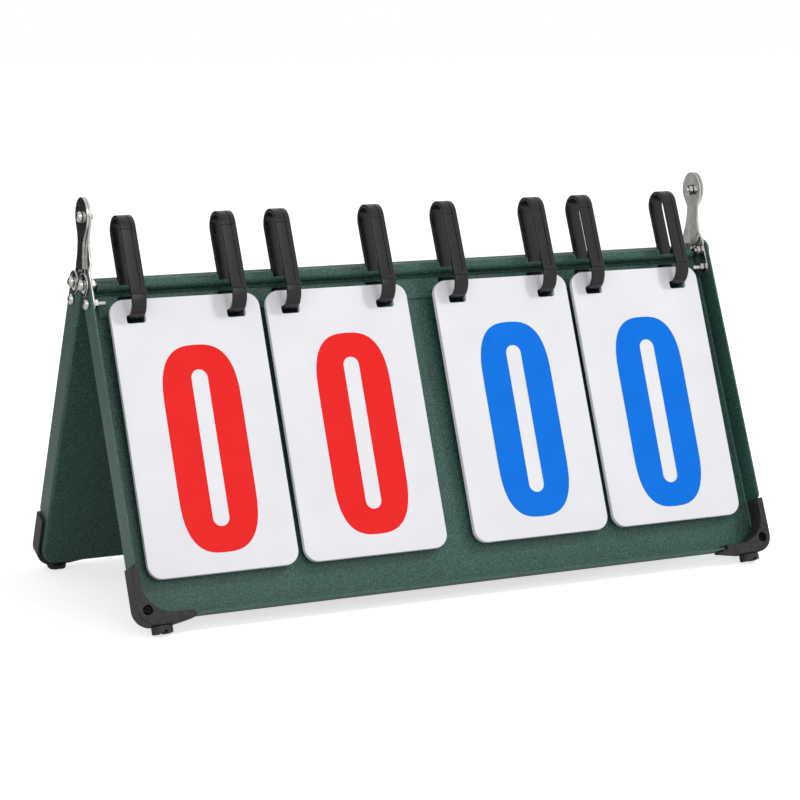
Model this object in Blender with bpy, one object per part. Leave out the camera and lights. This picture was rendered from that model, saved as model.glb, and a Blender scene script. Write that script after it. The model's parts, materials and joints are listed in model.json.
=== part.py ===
"""Flip scoreboard: two sheet-steel trays on a common hinge, with number cards on rings.

Metres, +Z up, standing on Z = 0, front towards -Y. The two trays lean against each
other like an A. Each one swings on two straps, and the rear tray goes up and over
until the open sides meet and the pair makes a flat case with the cards inside.

Every tray piece is drawn upright in the tray's own frame: the hinge axis is at its
origin, X runs along the axis, +Y goes from the open side to the back, and -Z goes
down the tray. The frame's empty then leans it and, for the rear tray, turns it round.
"""

import math

import bmesh
import bpy
from mathutils import Matrix, Vector

# Fits
CLEARANCE = 0.0003
CLOSING_GAP = 0.0005
TOP_GAP = 0.0004

# Cards
CARD_WIDTH = 0.0882
CARD_HEIGHT = 0.154
CARD_THICKNESS = 0.0005
CARD_CORNER = 0.008
CARD_DROP = 0.014
PAIR_GAP = 0.004
CENTRE_GAP = 0.018
SIDE_MARGIN = 0.0096
FOOT_MARGIN = 0.0205
SLOT_LENGTH = 0.011
SLOT_HEIGHT = 0.0048
SLOT_CORNER = 0.0014
SLOT_INSET = 0.0145
SLOT_PLAY = 0.0004
CARD_LEAD = 0.001
STACK_CARDS = 9
STACK_TOP_DEPTH = 0.005
STACK_FOOT_DEPTH = 0.0045
STACK_TAIL_GAP = 0.0006
STACK_FOOT_STAND = 0.0005
STACK_NOTCH = 0.00025
CARD_FOOT_GAP = 0.0005

# Trays
SHEET = 0.001
FLANGE_DEPTH = 0.0137
FLANGE_RISE = 0.0005
FLANGE_CORNER = 0.003
FLANGE_CHAMFER = 0.004
BEND_RADIUS = 0.0021
TRAY_CORNER = 0.0085
HINGE_RISE = 0.033
ROLL_RADIUS = 0.0036
ROLL_SWEEP = math.radians(292)
ROLL_INSET = 0.0065
END_STEP = 0.005
BAND_TOP = 0.0083
BAND_HEIGHT = 0.0132
BAND_RISE = 0.0009
BAND_RAMP = 0.0009

# Rings
RING_WIDTH = 0.010
RING_THICKNESS = 0.002
RING_GAP = 0.016
RING_TOP = 0.0005
RING_BEND = 0.010
RING_SET = 0.0006
RING_ENTRY = 0.0042
RING_EDGE = 0.0004
TAIL_BEND = 0.002
HOOK_ROOM = 0.0005

# Hinge straps
STRAP_THICKNESS = 0.0012
HEAD_HALF = 0.0095
HEAD_RISE = 0.0108
NECK_HALF = 0.0041
NECK_START = 0.015
NECK_END = 0.021
STRAP_HALF = 0.0054
STRAP_KNEE = 0.030
JOGGLE_LENGTH = 0.004
JOGGLE_GAP = 0.0004
JOGGLE_SLANT = math.radians(33)

# Fasteners
BOLT_RADIUS = 0.0015
HEAD_RADIUS = 0.0031
HEAD_HEIGHT = 0.0026
NUT_FLATS = 0.0055
NUT_HEIGHT = 0.0024
WASHER_RADIUS = 0.0065
WASHER_HEIGHT = 0.0012
UPPER_BOLT = 0.0034
BOLT_PITCH = 0.011
SHORT_TAIL = 0.001
LONG_TAIL = 0.0045

# Corner guards and feet
GUARD_WALL = 0.0016
GUARD_FRONT = 0.003
GUARD_INNER = 0.001
GUARD_DEPTH = 0.0106
GUARD_UP = 0.0285
GUARD_ALONG = 0.030
GUARD_TOE = 0.006
GUARD_COVE = 0.017
GUARD_CORNER = 0.010
GUARD_EDGE = 0.0011
SCREW_SIDE = 0.004
SCREW_RISE = 0.0048
SCREW_RADIUS = 0.0011
SCREW_HEAD_RADIUS = 0.0023
SCREW_HEAD_HEIGHT = 0.0013
SCREW_LENGTH = 0.0056
SCREW_SLOT = 0.0007
SCREW_SUNK = 0.0003
TAB_START = math.radians(15)
FOOT_SIDE = 0.0124
FOOT_SET = 0.0064
FOOT_RADIUS = 0.0058
FOOT_HEIGHT = 0.0056
FOOT_STUD = 0.002
FOOT_STUD_LENGTH = 0.0042
FOOT_SLOT = 0.0018
FOOT_SLOT_DEPTH = 0.0014
FOOT_FLAT = 0.001

# How far a cutter runs past what it cuts, and how large an axis is drawn
CUT_PAST = 0.01
SLOT_REACH = 0.05
AXIS_SIZE = 0.02

# Smoothness of round work
BEND_STEPS = 3
CORNER_STEPS = 6
ROUND_STEPS = 16

# Sizes that follow from the ones above. Depths are along +Y and drops are down the tray.
FACE_FRONT = CLOSING_GAP + FLANGE_DEPTH
FACE_BACK = FACE_FRONT + SHEET
FLANGE_MIDDLE = (CLOSING_GAP + FACE_FRONT) / 2
CARD_TOP = HINGE_RISE + CARD_DROP
CARD_FOOT = CARD_TOP + CARD_HEIGHT
TRAY_FOOT = CARD_FOOT + FOOT_MARGIN + SHEET
PAIR_WIDTH = 2 * CARD_WIDTH + PAIR_GAP
TRAY_HALF = CENTRE_GAP / 2 + PAIR_WIDTH + SIDE_MARGIN + SHEET
INNER_CARD_X = (CENTRE_GAP + CARD_WIDTH) / 2
OUTER_CARD_X = INNER_CARD_X + CARD_WIDTH + PAIR_GAP
CARD_CENTRES = (-OUTER_CARD_X, -INNER_CARD_X, INNER_CARD_X, OUTER_CARD_X)
SLOT_OFFSET = CARD_WIDTH / 2 - SLOT_INSET
ROLL_DROP = HINGE_RISE + ROLL_RADIUS
ROLL_DEPTH = FACE_BACK - ROLL_RADIUS
ROLL_HALF = TRAY_HALF - SHEET - ROLL_INSET
RING_REAR = ROLL_DEPTH - RING_SET
RING_FRONT = RING_REAR - RING_GAP
RING_CENTRE = RING_THICKNESS / 2 + RING_GAP / 2 - RING_TOP
RING_DROP = CARD_TOP + RING_BEND
RING_TURN_DEPTH = RING_FRONT + RING_BEND
TAIL_DEPTH = FACE_FRONT - BAND_RISE - CLEARANCE - RING_THICKNESS / 2
HOOK_DROP = HINGE_RISE + BAND_TOP + BAND_RAMP + RING_THICKNESS / 2 + 2 * CLEARANCE
STACK_TOP_STAND = FACE_FRONT - TAIL_DEPTH + RING_THICKNESS / 2 + STACK_TAIL_GAP
SLOT_TOP = CARD_TOP + RING_BEND - RING_THICKNESS / 2 - SLOT_PLAY
UPPER_DROP = HINGE_RISE + UPPER_BOLT
LOWER_DROP = UPPER_DROP + BOLT_PITCH
STRAP_OUT = TRAY_HALF - SHEET - CLEARANCE
STRAP_IN = STRAP_OUT - STRAP_THICKNESS
STRAP_SLOPE = math.asin(FLANGE_MIDDLE / STRAP_KNEE)
JOGGLE_SLOPE = STRAP_SLOPE - JOGGLE_SLANT
NUT_CORNER = NUT_FLATS / math.sqrt(3)
UPPER_REACH = FLANGE_MIDDLE * math.sin(JOGGLE_SLOPE) + UPPER_DROP * math.cos(JOGGLE_SLOPE)
JOGGLE_START = UPPER_REACH - NUT_CORNER - JOGGLE_GAP - JOGGLE_LENGTH
JOGGLE = STRAP_THICKNESS + CLEARANCE
GUARD_HALF = TRAY_HALF + CLEARANCE + GUARD_WALL
GUARD_BASE = TRAY_FOOT + CLEARANCE + GUARD_WALL
GUARD_LIP = CLEARANCE + GUARD_FRONT
GUARD_TOP = TRAY_FOOT - GUARD_UP
GUARD_END = TRAY_HALF - GUARD_ALONG
COVE_X = TRAY_HALF - SHEET - CLEARANCE - GUARD_INNER - GUARD_COVE
COVE_DROP = TRAY_FOOT - SHEET - 2 * CLEARANCE - GUARD_INNER - GUARD_COVE
RELIEF_DEPTH = GUARD_LIP + CLEARANCE
SCREW_X = TRAY_HALF - SCREW_SIDE
SCREW_DROP = TRAY_FOOT - SCREW_RISE
FOOT_X = TRAY_HALF - FOOT_SIDE
FOOT_TOP = GUARD_BASE + CLEARANCE
FOOT_END = FOOT_TOP + FOOT_HEIGHT

# The trays lean until their rolled edges meet, TOP_GAP apart.
ROLL_REACH = math.hypot(ROLL_DROP, ROLL_DEPTH)
LEAN = math.atan2(ROLL_DEPTH, ROLL_DROP) + math.asin((ROLL_RADIUS + TOP_GAP / 2) / ROLL_REACH)
FOOT_LOW = FOOT_END * math.cos(LEAN) + (FOOT_SET + FOOT_RADIUS) * math.sin(LEAN)
HINGE_HEIGHT = FOOT_LOW - FOOT_FLAT

# The rear tray is turned round, so its own left is on the object's right.
SIDES = {
    "front": {"left": -1, "right": 1},
    "rear": {"left": 1, "right": -1},
}


def clear_scene():
    for item in list(bpy.data.objects):
        bpy.data.objects.remove(item)


def make_material(name, colour, metallic, roughness):
    material = bpy.data.materials.new(name)
    material.use_nodes = True
    shader = material.node_tree.nodes["Principled BSDF"]
    shader.inputs["Base Color"].default_value = (*colour, 1)
    shader.inputs["Metallic"].default_value = metallic
    shader.inputs["Roughness"].default_value = roughness
    material.diffuse_color = (*colour, 1)
    return material


def arc(centre, radius, start, end, steps):
    """Points along an arc, angles in degrees from +U towards +V."""
    points = []
    for step in range(steps + 1):
        angle = math.radians(start + (end - start) * step / steps)
        points.append((centre[0] + radius * math.cos(angle), centre[1] + radius * math.sin(angle)))
    return points


def prism(outline, axis, low, high):
    """A closed solid: the outline pushed along one axis. U and V are the other two axes in order."""
    place = {
        "X": lambda u, v, along: (along, u, v),
        "Y": lambda u, v, along: (u, along, v),
        "Z": lambda u, v, along: (u, v, along),
    }[axis]
    mesh = bmesh.new()
    near = [mesh.verts.new(place(u, v, low)) for u, v in outline]
    far = [mesh.verts.new(place(u, v, high)) for u, v in outline]
    mesh.faces.new(near)
    mesh.faces.new(far)
    for index in range(len(outline)):
        following = (index + 1) % len(outline)
        mesh.faces.new((near[index], near[following], far[following], far[index]))
    bmesh.ops.recalc_face_normals(mesh, faces=mesh.faces)
    return mesh


def box(low, high):
    outline = [(low[0], low[1]), (high[0], low[1]), (high[0], high[1]), (low[0], high[1])]
    return prism(outline, "Z", low[2], high[2])


def cylinder(axis, centre, radius, low, high, steps=ROUND_STEPS):
    return prism(arc(centre, radius, 0, 360 * (steps - 1) / steps, steps - 1), axis, low, high)


def lathe(profile, steps=ROUND_STEPS):
    """A closed solid turned about X from (distance along X, radius) pairs that start and end on X."""
    mesh = bmesh.new()
    first = mesh.verts.new((profile[0][0], 0, 0))
    last = mesh.verts.new((profile[-1][0], 0, 0))
    rings = []
    for along, radius in profile[1:-1]:
        circle = arc((0, 0), radius, 0, 360 * (1 - 1 / steps), steps - 1)
        rings.append([mesh.verts.new((along, u, v)) for u, v in circle])
    for index in range(steps):
        following = (index + 1) % steps
        mesh.faces.new((first, rings[0][index], rings[0][following]))
        mesh.faces.new((last, rings[-1][following], rings[-1][index]))
        for near, far in zip(rings, rings[1:]):
            mesh.faces.new((near[index], far[index], far[following], near[following]))
    bmesh.ops.recalc_face_normals(mesh, faces=mesh.faces)
    return mesh


def joined(pieces):
    """Several solids that don't touch, as one mesh."""
    whole = bmesh.new()
    for piece in pieces:
        shell = bpy.data.meshes.new("shell")
        piece.to_mesh(shell)
        whole.from_mesh(shell)
        bpy.data.meshes.remove(shell)
        piece.free()
    return whole


def mirrored(mesh, side):
    """The piece for the given side of the tray, from the one drawn for the right side."""
    if side < 0:
        bmesh.ops.scale(mesh, vec=Vector((-1, 1, 1)), verts=mesh.verts)
        bmesh.ops.reverse_faces(mesh, faces=mesh.faces)
    return mesh


def both_sides(make):
    return joined([mirrored(make(), side) for side in (-1, 1)])


def temporary(mesh):
    data = bpy.data.meshes.new("tool")
    mesh.to_mesh(data)
    mesh.free()
    item = bpy.data.objects.new("tool", data)
    bpy.context.scene.collection.objects.link(item)
    item.hide_render = True
    item.display_type = "WIRE"
    return item


def worked(body, steps):
    """The mesh of a solid after its cuts ("DIFFERENCE") and additions ("UNION"), in order."""
    item = temporary(body)
    tools = []
    for operation, tool in steps:
        tools.append(temporary(tool))
        boolean = item.modifiers.new(operation, "BOOLEAN")
        boolean.operation = operation
        boolean.solver = "EXACT"
        boolean.object = tools[-1]
    graph = bpy.context.evaluated_depsgraph_get()
    data = bpy.data.meshes.new_from_object(item.evaluated_get(graph))
    for done in [item, *tools]:
        bpy.data.objects.remove(done)
    return data


def mesh_data(mesh):
    data = bpy.data.meshes.new("piece")
    mesh.to_mesh(data)
    mesh.free()
    return data


def add_piece(name, data, material, parent, place=None):
    item = bpy.data.objects.new(name, data)
    bpy.context.scene.collection.objects.link(item)
    item.parent = parent
    if place:
        item.location = place
    item.data.materials.clear()
    item.data.materials.append(material)
    item.data.shade_smooth()
    item.data.set_sharp_from_angle(angle=math.radians(32))
    return item


def add_empty(name, matrix, parent=None):
    item = bpy.data.objects.new(name, None)
    bpy.context.scene.collection.objects.link(item)
    item.parent = parent
    item.matrix_local = matrix
    item.empty_display_size = AXIS_SIZE
    return item


def tray_outline(inset, top):
    """The tray's front view, in from its outside by inset, open at the top drop."""
    half = TRAY_HALF - inset
    radius = TRAY_CORNER - inset
    foot = -TRAY_FOOT + inset
    points = [(-half, -top)]
    points += arc((-half + radius, foot + radius), radius, 180, 270, CORNER_STEPS)
    points += arc((half - radius, foot + radius), radius, 270, 360, CORNER_STEPS)
    points.append((half, -top))
    return points


def tray_block(inset, top, low, high, radius):
    """The tray's outline as a solid, with its back edges rounded except along the top."""
    mesh = prism(tray_outline(inset, top), "Y", low, high)
    edges = []
    for edge in mesh.edges:
        ends = [vertex.co for vertex in edge.verts]
        if all(abs(end.y - high) < 1e-6 for end in ends) and not all(end.z > -top - 1e-6 for end in ends):
            edges.append(edge)
    bmesh.ops.bevel(mesh, geom=edges, offset=radius, segments=BEND_STEPS, profile=0.5, affect="EDGES")
    return mesh


def band_path():
    """Middle line of the sheet at the top of the face: raised band, then the rolled edge."""
    face = (FACE_FRONT + FACE_BACK) / 2
    raised = face - BAND_RISE
    high = -(HINGE_RISE + BAND_TOP)
    low = high - BAND_HEIGHT
    points = [
        (face, low - 2 * BAND_RAMP),
        (face, low),
        (raised, low + BAND_RAMP),
        (raised, high - BAND_RAMP),
        (face, high),
    ]
    sweep = math.degrees(ROLL_SWEEP)
    return points + arc((ROLL_DEPTH, -ROLL_DROP), ROLL_RADIUS - SHEET / 2, 0, sweep, ROUND_STEPS)


def thickened(path, thickness):
    """The outline of a bent sheet from its middle line."""
    near = []
    far = []
    for index, point in enumerate(path):
        before = Vector(path[max(index - 1, 0)])
        after = Vector(path[min(index + 1, len(path) - 1)])
        here = Vector(point)
        first = (here - before).normalized() if index > 0 else (after - here).normalized()
        second = (after - here).normalized() if index < len(path) - 1 else first
        along = (first + second).normalized()
        across = Vector((-along.y, along.x)) * thickness / 2 / along.dot(first)
        near.append(tuple(here + across))
        far.append(tuple(here - across))
    return near + far[::-1]


def face_opening():
    """What the rolled edge and the band replace, with the notches beside the flanges."""
    notch = TRAY_HALF - BEND_RADIUS - CLEARANCE
    inner = ROLL_HALF - BAND_RAMP
    low = -(HINGE_RISE + BAND_TOP + BAND_HEIGHT + BAND_RAMP)
    step = -(HINGE_RISE + END_STEP)
    right = [(inner, low), (inner, step), (notch, step), (notch, 0)]
    outline = right + [(-x, z) for x, z in reversed(right)]
    return prism(outline, "Y", FACE_FRONT - SHEET, FACE_BACK + SHEET)


def ring_places():
    return [centre + side * SLOT_OFFSET for centre in CARD_CENTRES for side in (-1, 1)]


def ring_seats():
    """Cuts in the rolled edge and in the raised band that the ends of the rings go into."""
    half = RING_WIDTH / 2 + CLEARANCE
    grip = RING_THICKNESS / 2 + CLEARANCE
    roll_front = ROLL_DEPTH - ROLL_RADIUS - CLEARANCE
    entry = HINGE_RISE + RING_ENTRY + CLEARANCE
    seats = []
    for x in ring_places():
        seats.append(box((x - half, roll_front, -entry), (x + half, RING_REAR + grip, -HINGE_RISE + SHEET)))
        low = (x - half, FACE_FRONT - 2 * SHEET, -HOOK_DROP - grip - HOOK_ROOM)
        high = (x + half, FACE_BACK + SHEET, -HOOK_DROP + grip)
        seats.append(box(low, high))
    return joined(seats)


def flange_top_cut():
    """What is taken off the tops of the flanges, leaving a round free corner and a chamfered back one."""
    top = HINGE_RISE - FLANGE_RISE
    centre = (CLOSING_GAP + FLANGE_CORNER, -(top + FLANGE_CORNER))
    behind = FACE_BACK + SHEET
    outline = [(0, centre[1])] + arc(centre, FLANGE_CORNER, 180, 90, CORNER_STEPS)
    outline += [(FACE_BACK - FLANGE_CHAMFER, -top), (behind, -(top + FLANGE_CHAMFER + SHEET))]
    outline += [(behind, 0), (0, 0)]
    return prism(outline, "X", -(TRAY_HALF + SHEET), TRAY_HALF + SHEET)


def relief_arc(end):
    """The round end of a flange's full depth, just before a corner guard, as (depth, distance)."""
    radius = RELIEF_DEPTH - CLOSING_GAP
    return arc((RELIEF_DEPTH, end - radius), radius, 180, 90, CORNER_STEPS)


def side_relief():
    low = -(TRAY_FOOT + SHEET)
    outline = [(depth, -drop) for depth, drop in relief_arc(GUARD_TOP - CLEARANCE)]
    outline += [(RELIEF_DEPTH, low), (0, low), (0, outline[0][1])]
    return prism(outline, "X", TRAY_HALF - TRAY_CORNER, TRAY_HALF + SHEET)


def base_relief():
    far = TRAY_HALF + SHEET
    outline = [(x, depth) for depth, x in relief_arc(GUARD_END - CLEARANCE)]
    outline += [(far, RELIEF_DEPTH), (far, 0), (outline[0][0], 0)]
    return prism(outline, "Z", -(TRAY_FOOT + SHEET), -(TRAY_FOOT - TRAY_CORNER))


def corner_tab():
    """The small plate inside the flange's corner that the guard is screwed to."""
    reach = GUARD_COVE + GUARD_INNER + CLEARANCE
    start = math.degrees(TAB_START)
    inner = arc((COVE_X, -COVE_DROP), reach, -start, start - 90, CORNER_STEPS)
    middle = SHEET / 2
    corner = (TRAY_HALF - TRAY_CORNER, -(TRAY_FOOT - TRAY_CORNER))
    outline = inner + [(inner[-1][0], -(TRAY_FOOT - middle))]
    outline += arc(corner, TRAY_CORNER - middle, 270, 360, CORNER_STEPS)
    outline.append((TRAY_HALF - middle, inner[0][1]))
    return prism(outline, "Y", RELIEF_DEPTH, RELIEF_DEPTH + SHEET)


def tray_holes():
    """Right-hand holes for the strap bolts, the guard's screw and the foot's stud."""
    bore = BOLT_RADIUS + CLEARANCE
    inside = TRAY_HALF - 3 * SHEET
    outside = TRAY_HALF + SHEET
    holes = []
    for drop in (UPPER_DROP, LOWER_DROP):
        holes.append(cylinder("X", (FLANGE_MIDDLE, -drop), bore, inside, outside))
    low = RELIEF_DEPTH - SHEET
    holes.append(cylinder("Y", (SCREW_X, -SCREW_DROP), SCREW_RADIUS + CLEARANCE, low, low + 3 * SHEET))
    high = -(TRAY_FOOT - 2 * SHEET)
    low = -(TRAY_FOOT + SHEET)
    holes.append(cylinder("Z", (FOOT_X, FOOT_SET), FOOT_STUD + CLEARANCE, low, high))
    return joined(holes)


def tray_mesh(holds_rings):
    outside = tray_block(0, HINGE_RISE - FLANGE_RISE - SHEET, CLOSING_GAP, FACE_BACK, BEND_RADIUS)
    inside = tray_block(SHEET, 0, -SHEET, FACE_FRONT, BEND_RADIUS - SHEET)
    rail = prism(thickened(band_path(), SHEET), "X", -ROLL_HALF, ROLL_HALF)
    steps = [
        ("DIFFERENCE", inside),
        ("DIFFERENCE", flange_top_cut()),
        ("DIFFERENCE", face_opening()),
        ("UNION", rail),
        ("DIFFERENCE", both_sides(side_relief)),
        ("DIFFERENCE", both_sides(base_relief)),
        ("UNION", both_sides(corner_tab)),
        ("DIFFERENCE", both_sides(tray_holes)),
    ]
    if holds_rings:
        steps.append(("DIFFERENCE", ring_seats()))
    return worked(outside, steps)


def ring_path():
    """Middle line of a ring: up the rear leg, over the top and down the front leg.

    Then back through the cards' slots, up behind the cards and hooked into the band.
    """
    points = [(RING_REAR, -(HINGE_RISE + RING_ENTRY))]
    middle = ((RING_REAR + RING_FRONT) / 2, -RING_CENTRE)
    points += arc(middle, RING_GAP / 2, 0, 180, 10)
    points += arc((RING_TURN_DEPTH, -CARD_TOP), RING_BEND, 180, 270, 6)
    points += arc((TAIL_DEPTH - TAIL_BEND, -RING_DROP + TAIL_BEND), TAIL_BEND, 270, 360, 3)
    points += arc((TAIL_DEPTH + TAIL_BEND, -HOOK_DROP - TAIL_BEND), TAIL_BEND, 180, 90, 3)
    points.append((FACE_BACK, -HOOK_DROP))
    return points


def ring_mesh():
    """The bent strip, with its long edges broken."""
    mesh = prism(thickened(ring_path(), RING_THICKNESS), "X", -RING_WIDTH / 2, RING_WIDTH / 2)
    edges = [edge for edge in mesh.edges if abs(edge.verts[0].co.x - edge.verts[1].co.x) < 1e-6]
    bmesh.ops.bevel(mesh, geom=edges, offset=RING_EDGE, segments=1, affect="EDGES")
    return mesh_data(mesh)


def strap_half(along):
    """Half the strap's width, at a distance along its middle line from the hinge axis."""
    last = strap_length()
    if along < 0:
        return HEAD_HALF * math.sqrt(max(0, 1 - (along / HEAD_RISE) ** 2))
    if along < NECK_START:
        share = 0.5 + 0.5 * math.cos(math.pi * along / NECK_START)
        return NECK_HALF + (HEAD_HALF - NECK_HALF) * share
    if along < NECK_END:
        return NECK_HALF
    if along < STRAP_KNEE:
        share = 0.5 - 0.5 * math.cos(math.pi * (along - NECK_END) / (STRAP_KNEE - NECK_END))
        return NECK_HALF + (STRAP_HALF - NECK_HALF) * share
    if along < last:
        return STRAP_HALF
    return STRAP_HALF * math.sqrt(max(0, 1 - ((along - last) / STRAP_HALF) ** 2))


def strap_length():
    """Length of the middle line, from the hinge axis round the knee to the lower bolt."""
    knee = math.sqrt(STRAP_KNEE**2 - FLANGE_MIDDLE**2)
    return STRAP_KNEE + LOWER_DROP - knee


def strap_point(along):
    """Where the middle line is, and the direction across it, in (depth, height)."""
    if along < STRAP_KNEE:
        point = Vector((along * math.sin(STRAP_SLOPE), -along * math.cos(STRAP_SLOPE)))
        return point, Vector((math.cos(STRAP_SLOPE), math.sin(STRAP_SLOPE)))
    knee = STRAP_KNEE * math.cos(STRAP_SLOPE)
    point = Vector((FLANGE_MIDDLE, -knee - (along - STRAP_KNEE)))
    bend = STRAP_SLOPE / 2 if along < STRAP_KNEE + 1e-6 else 0
    return point, Vector((math.cos(bend), math.sin(bend)))


def strap_stations():
    """Distances along the strap that its outline needs, closer where it is round."""
    head = [-HEAD_RISE * math.cos(math.radians(angle)) for angle in range(15, 90, 15)]
    taper = [NECK_START * step / 6 for step in range(7)]
    flare = [NECK_END + (STRAP_KNEE - NECK_END) * step / 4 for step in range(5)]
    last = strap_length()
    end = [last + STRAP_HALF * math.sin(math.radians(angle)) for angle in range(0, 90, 18)]
    return head + taper + flare + end


def strap_outline():
    front = []
    rear = []
    for along in strap_stations():
        point, across = strap_point(along)
        half = strap_half(along)
        front.append(tuple(point - across * half))
        rear.append(tuple(point + across * half))
    top, _ = strap_point(-HEAD_RISE)
    low, _ = strap_point(strap_length() + STRAP_HALF)
    return [tuple(top)] + rear + [tuple(low)] + front[::-1]


def joggle_share(vertex):
    """How far along the slanted step a point of the strap lies: 0 above it and 1 below it."""
    reach = vertex.y * math.sin(JOGGLE_SLOPE) - vertex.z * math.cos(JOGGLE_SLOPE)
    return (reach - JOGGLE_START) / JOGGLE_LENGTH


def strap_mesh(side, joggled):
    """A hinge strap. The joggled one steps inwards at its head, to pass over the other."""
    mesh = prism(strap_outline(), "X", STRAP_IN, STRAP_OUT)
    if joggled:
        normal = Vector((0, math.sin(JOGGLE_SLOPE), -math.cos(JOGGLE_SLOPE)))
        for reach in (JOGGLE_START, JOGGLE_START + JOGGLE_LENGTH):
            everything = [*mesh.verts, *mesh.edges, *mesh.faces]
            bmesh.ops.bisect_plane(mesh, geom=everything, dist=1e-7, plane_co=normal * reach, plane_no=normal)
        for vertex in mesh.verts:
            vertex.co.x -= JOGGLE * (1 - min(max(joggle_share(vertex.co), 0), 1))
    bore = BOLT_RADIUS + CLEARANCE
    low = STRAP_IN - JOGGLE - SHEET
    high = STRAP_OUT + SHEET
    places = [(0, 0), (FLANGE_MIDDLE, -UPPER_DROP), (FLANGE_MIDDLE, -LOWER_DROP)]
    holes = joined([cylinder("X", place, bore, low, high) for place in places])
    return worked(mirrored(mesh, side), [("DIFFERENCE", mirrored(holes, side))])


def bolt_mesh(side, seat, tip):
    """A dome-headed bolt along X: its head's seat is at seat, and it runs in to tip."""
    profile = [(seat + HEAD_HEIGHT, 0)]
    for angle in (25, 50, 75):
        turn = math.radians(angle)
        profile.append((seat + HEAD_HEIGHT * math.cos(turn), HEAD_RADIUS * math.sin(turn)))
    profile += [(seat, HEAD_RADIUS), (seat, BOLT_RADIUS), (tip, BOLT_RADIUS), (tip, 0)]
    return mesh_data(mirrored(lathe(profile), side))


def nut_mesh(side, seat):
    """A plain hexagon nut along X, in from its seat."""
    body = cylinder("X", (0, 0), NUT_CORNER, seat - NUT_HEIGHT, seat, 6)
    bore = BOLT_RADIUS + CLEARANCE
    hole = cylinder("X", (0, 0), bore, seat - NUT_HEIGHT - SHEET, seat + SHEET)
    return worked(mirrored(body, side), [("DIFFERENCE", mirrored(hole, side))])


def washer_mesh(side, seat):
    body = cylinder("X", (0, 0), WASHER_RADIUS, seat, seat + WASHER_HEIGHT, 24)
    edges = [edge for edge in body.edges if min(end.co.x for end in edge.verts) > seat + WASHER_HEIGHT - 1e-6]
    bmesh.ops.bevel(body, geom=edges, offset=WASHER_HEIGHT / 4, segments=1, affect="EDGES")
    hole = cylinder("X", (0, 0), BOLT_RADIUS + CLEARANCE, seat - SHEET, seat + 3 * SHEET)
    return worked(mirrored(body, side), [("DIFFERENCE", mirrored(hole, side))])


def guard_outline():
    """The guard's front view: two arms, a round outer corner and a hollow inner one."""
    corner = (GUARD_HALF - GUARD_CORNER, -GUARD_BASE + GUARD_CORNER)
    toe = GUARD_END - GUARD_TOE
    lip = -(TRAY_FOOT + CLEARANCE)
    points = [(GUARD_HALF, -GUARD_TOP)]
    points += arc(corner, GUARD_CORNER, 0, -90, CORNER_STEPS)
    points += [(toe, -GUARD_BASE), (toe, lip), (GUARD_END, lip)]
    points.append((GUARD_END, -COVE_DROP - GUARD_COVE))
    points += arc((COVE_X, -COVE_DROP), GUARD_COVE, -90, 0, 2 * CORNER_STEPS)
    points.append((COVE_X + GUARD_COVE, -GUARD_TOP))
    return points


def guard_pocket():
    """The space inside the guard that goes over the flange, open at the back and both ends."""
    radius = TRAY_CORNER + CLEARANCE
    corner = (TRAY_HALF - TRAY_CORNER, -(TRAY_FOOT - TRAY_CORNER))
    cove = GUARD_COVE + GUARD_INNER
    points = [(TRAY_HALF + CLEARANCE, -GUARD_TOP + CUT_PAST)]
    points += arc(corner, radius, 0, -90, CORNER_STEPS)
    points += [(GUARD_END - CUT_PAST, -(TRAY_FOOT + CLEARANCE)), (GUARD_END - CUT_PAST, -COVE_DROP - cove)]
    points += arc((COVE_X, -COVE_DROP), cove, -90, 0, 2 * CORNER_STEPS)
    points.append((COVE_X + cove, -GUARD_TOP + CUT_PAST))
    return prism(points, "Y", GUARD_LIP, GUARD_DEPTH + CUT_PAST)


def guard_mesh(side):
    body = prism(guard_outline(), "Y", CLEARANCE, CLEARANCE + GUARD_DEPTH)
    edges = []
    for edge in body.edges:
        ends = [end.co for end in edge.verts]
        outer = all(end.x > GUARD_HALF - GUARD_CORNER - 1e-6 for end in ends)
        outer = outer and all(end.x > GUARD_HALF - 1e-6 or end.z < -GUARD_BASE + GUARD_CORNER for end in ends)
        low = all(end.z < -GUARD_BASE + 1e-6 for end in ends)
        if all(end.y < CLEARANCE + 1e-6 for end in ends) and (outer or low):
            edges.append(edge)
    bmesh.ops.bevel(body, geom=edges, offset=GUARD_EDGE, segments=2, profile=0.5, affect="EDGES")
    sunk = CLEARANCE + SCREW_SUNK + SCREW_HEAD_HEIGHT + CLEARANCE
    centre = (SCREW_X, -SCREW_DROP)
    recess = cylinder("Y", centre, SCREW_HEAD_RADIUS + CLEARANCE, -SHEET, sunk)
    bore = cylinder("Y", centre, SCREW_RADIUS + CLEARANCE, sunk - SHEET, GUARD_LIP + SHEET, 12)
    stud = cylinder("Z", (FOOT_X, FOOT_SET), FOOT_STUD + CLEARANCE, -GUARD_BASE - SHEET, -TRAY_FOOT, 12)
    cuts = [guard_pocket(), recess, bore, stud]
    return worked(mirrored(body, side), [("DIFFERENCE", mirrored(cut, side)) for cut in cuts])


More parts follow.
